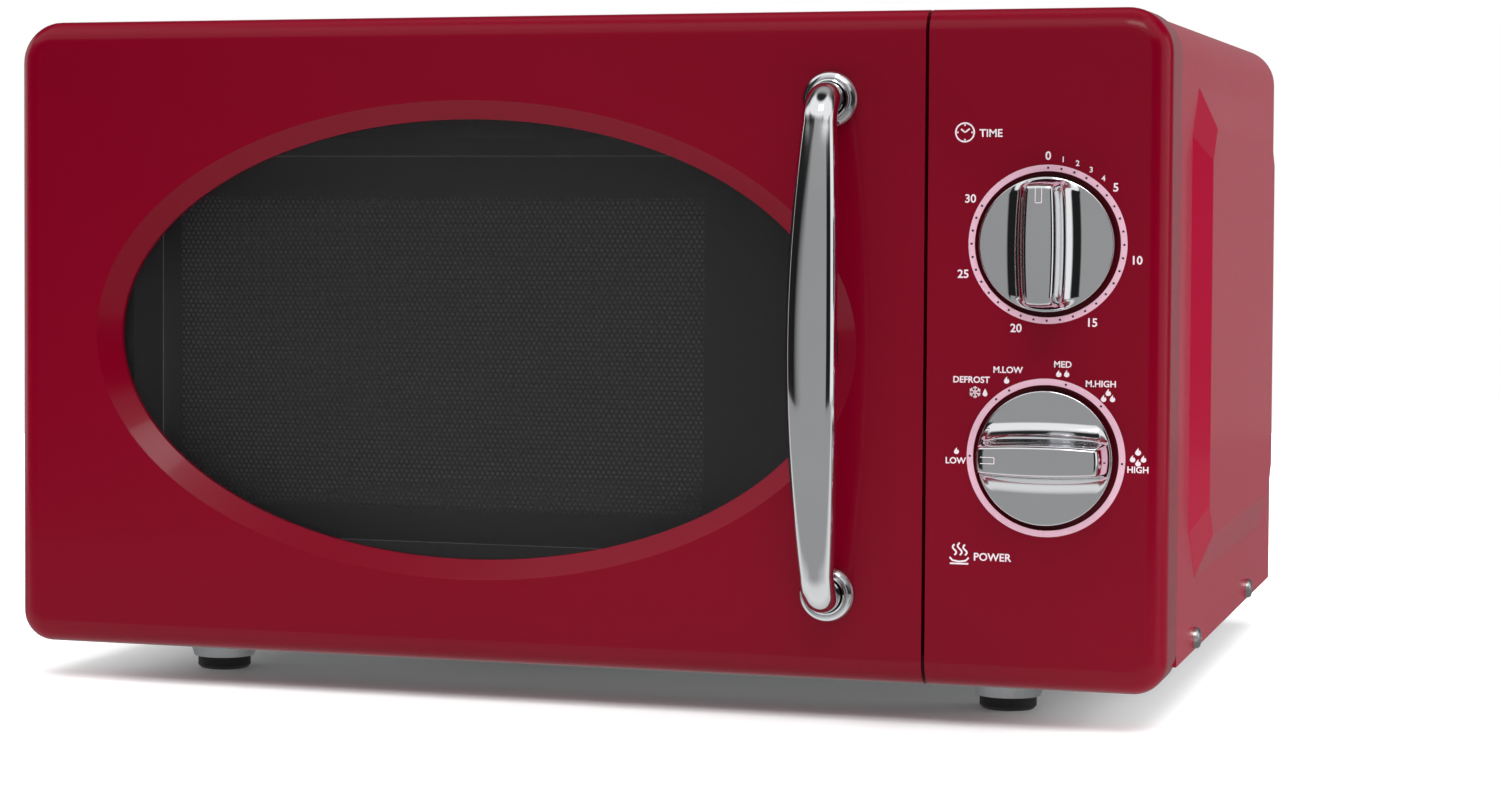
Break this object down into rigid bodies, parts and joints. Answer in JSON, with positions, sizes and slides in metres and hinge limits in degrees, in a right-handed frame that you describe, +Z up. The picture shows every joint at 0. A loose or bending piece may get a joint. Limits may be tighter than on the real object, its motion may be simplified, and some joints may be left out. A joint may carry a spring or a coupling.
{
  "type": "microwave oven",
  "caption": "Countertop microwave oven with an oval door window, a bow handle, two rotary dials and a glass turntable.",
  "frame": {"origin": "under the middle of the oven, on the surface that its feet stand on", "axes": "+X to the right seen from the front, +Y to the back, +Z up; the door faces -Y"},
  "size_m": [0.455, 0.3785, 0.256],
  "materials": {
    "red_enamel": "gloss",
    "red_plastic": "gloss",
    "galvanised": "satin",
    "cavity_enamel": "satin",
    "black_rubber": "matte",
    "black_plastic": "matte",
    "white_plastic": "satin",
    "clear_film": "clear",
    "smoked_pane": "gloss",
    "tray_glass": "clear",
    "lamp_glass": "clear",
    "bright_chrome": "mirror",
    "zinc_steel": "satin",
    "aluminium": "satin",
    "laminated_iron": "satin",
    "copper_coil": "satin",
    "ferrite": "matte",
    "mica": "matte",
    "circuit_board": "satin",
    "grey_screen": "satin"
  },
  "bodies": {
    "oven_body": {"outer_cabinet": "red_enamel", "rear_panel": "galvanised", "base_plate": "galvanised", "feet": "black_rubber", "cabinet_screws": "bright_chrome", "cable_gland": "black_plastic", "oven_cavity": "cavity_enamel", "front_plate": "cavity_enamel", "waveguide": "zinc_steel", "waveguide_cover": "mica", "hinge_brackets": "zinc_steel", "control_panel": "red_plastic", "timer_unit": "white_plastic", "timer_bell": "bright_chrome", "power_selector": "white_plastic", "magnetron_yoke": "zinc_steel", "magnetron_core": "aluminium", "magnetron_magnets": "ferrite", "magnetron_filter_box": "zinc_steel", "transformer_core": "laminated_iron", "transformer_coils": "copper_coil", "hv_capacitor": "aluminium", "capacitor_clamp": "zinc_steel", "hv_diode": "black_plastic", "line_filter_board": "circuit_board", "mains_fuse": "lamp_glass", "thermal_cutouts": "black_plastic", "oven_lamp": "lamp_glass", "lamp_holder": "white_plastic", "fan_shroud": "white_plastic", "fan_motor": "laminated_iron", "air_duct": "white_plastic", "interlock_bracket": "white_plastic", "microswitches": "black_plastic", "turntable_motor": "zinc_steel"},
    "door": {"door_frame": "red_plastic", "door_window": "smoked_pane", "door_panel": "grey_screen", "inner_film": "clear_film", "choke_cover": "black_plastic", "door_screws": "zinc_steel", "handle_bar": "bright_chrome", "handle_roses": "bright_chrome", "handle_screws": "zinc_steel", "latch_spring": "zinc_steel"},
    "latch": {"latch_bar": "white_plastic"},
    "timer_knob": {"timer_knob": "bright_chrome", "timer_shaft": "zinc_steel"},
    "power_knob": {"power_knob": "bright_chrome", "power_shaft": "zinc_steel"},
    "turntable_coupler": {"turntable_coupler": "white_plastic"},
    "glass_tray": {"glass_tray": "tray_glass"},
    "roller_ring": {"roller_ring": "white_plastic"},
    "roller_1": {"roller_1": "white_plastic"},
    "roller_2": {"roller_2": "white_plastic"},
    "roller_3": {"roller_3": "white_plastic"},
    "fan": {"fan_blade": "white_plastic"},
    "switch_plunger_1": {"switch_plunger_1": "white_plastic"},
    "switch_plunger_2": {"switch_plunger_2": "white_plastic"},
    "switch_plunger_3": {"switch_plunger_3": "white_plastic"}
  },
  "joints": [
    {"name": "door_hinge", "type": "hinge", "parent": "oven_body", "child": "door", "pos_m": [-0.2185, -0.13125, 0.135], "axis": [0, 0, -1], "range_deg": [0, 100]},
    {"name": "latch_slide", "type": "slide", "parent": "door", "child": "latch", "axis": [0, 0, 1], "range_m": [0, 0.004], "stiffness_N_per_m": 300, "springref_m": -0.003, "deforming": ["latch_spring"]},
    {"name": "timer_turn", "type": "hinge", "parent": "oven_body", "child": "timer_knob", "pos_m": [0.1803, -0.15675, 0.17265], "axis": [0, 1, 0], "range_deg": [0, 300]},
    {"name": "power_turn", "type": "hinge", "parent": "oven_body", "child": "power_knob", "pos_m": [0.1803, -0.15675, 0.09735], "axis": [0, 1, 0], "range_deg": [0, 180]},
    {"name": "turntable_spin", "type": "hinge", "parent": "oven_body", "child": "turntable_coupler", "pos_m": [-0.046, 0.0225, 0.034], "axis": [0, 0, 1], "continuous": true},
    {"name": "tray_lift", "type": "slide", "parent": "turntable_coupler", "child": "glass_tray", "axis": [0, 0, 1], "range_m": [0, 0.09]},
    {"name": "roller_ring_turn", "type": "hinge", "parent": "oven_body", "child": "roller_ring", "pos_m": [-0.046, 0.0225, 0.034], "axis": [0, 0, 1], "continuous": true},
    {"name": "roller_1_spin", "type": "hinge", "parent": "roller_ring", "child": "roller_1", "pos_m": [-0.046, 0.1095, 0.0413], "axis": [0, 1, 0], "continuous": true},
    {"name": "roller_2_spin", "type": "hinge", "parent": "roller_ring", "child": "roller_2", "pos_m": [-0.12134, -0.021, 0.0413], "axis": [-0.866, -0.5, 0], "continuous": true},
    {"name": "roller_3_spin", "type": "hinge", "parent": "roller_ring", "child": "roller_3", "pos_m": [0.02934, -0.021, 0.0413], "axis": [0.866, -0.5, 0], "continuous": true},
    {"name": "fan_spin", "type": "hinge", "parent": "oven_body", "child": "fan", "pos_m": [0.16325, 0.14325, 0.123], "axis": [0, 1, 0], "continuous": true},
    {"name": "switch_1_press", "type": "slide", "parent": "oven_body", "child": "switch_plunger_1", "axis": [0, 1, 0], "range_m": [0, 0.0005], "stiffness_N_per_m": 200, "springref_m": -0.0005},
    {"name": "switch_2_press", "type": "slide", "parent": "oven_body", "child": "switch_plunger_2", "axis": [0, 1, 0], "range_m": [0, 0.0005], "stiffness_N_per_m": 200, "springref_m": -0.0005},
    {"name": "switch_3_press", "type": "slide", "parent": "oven_body", "child": "switch_plunger_3", "axis": [0, 1, 0], "range_m": [0, 0.0005], "stiffness_N_per_m": 200, "springref_m": -0.0005}
  ],
  "couplings": [
    {"joint": "roller_ring_turn", "follows": "turntable_spin", "ratio": 0.5},
    {"joint": "roller_1_spin", "follows": "turntable_spin", "ratio": -6.2143},
    {"joint": "roller_2_spin", "follows": "turntable_spin", "ratio": -6.2143},
    {"joint": "roller_3_spin", "follows": "turntable_spin", "ratio": -6.2143}
  ]
}
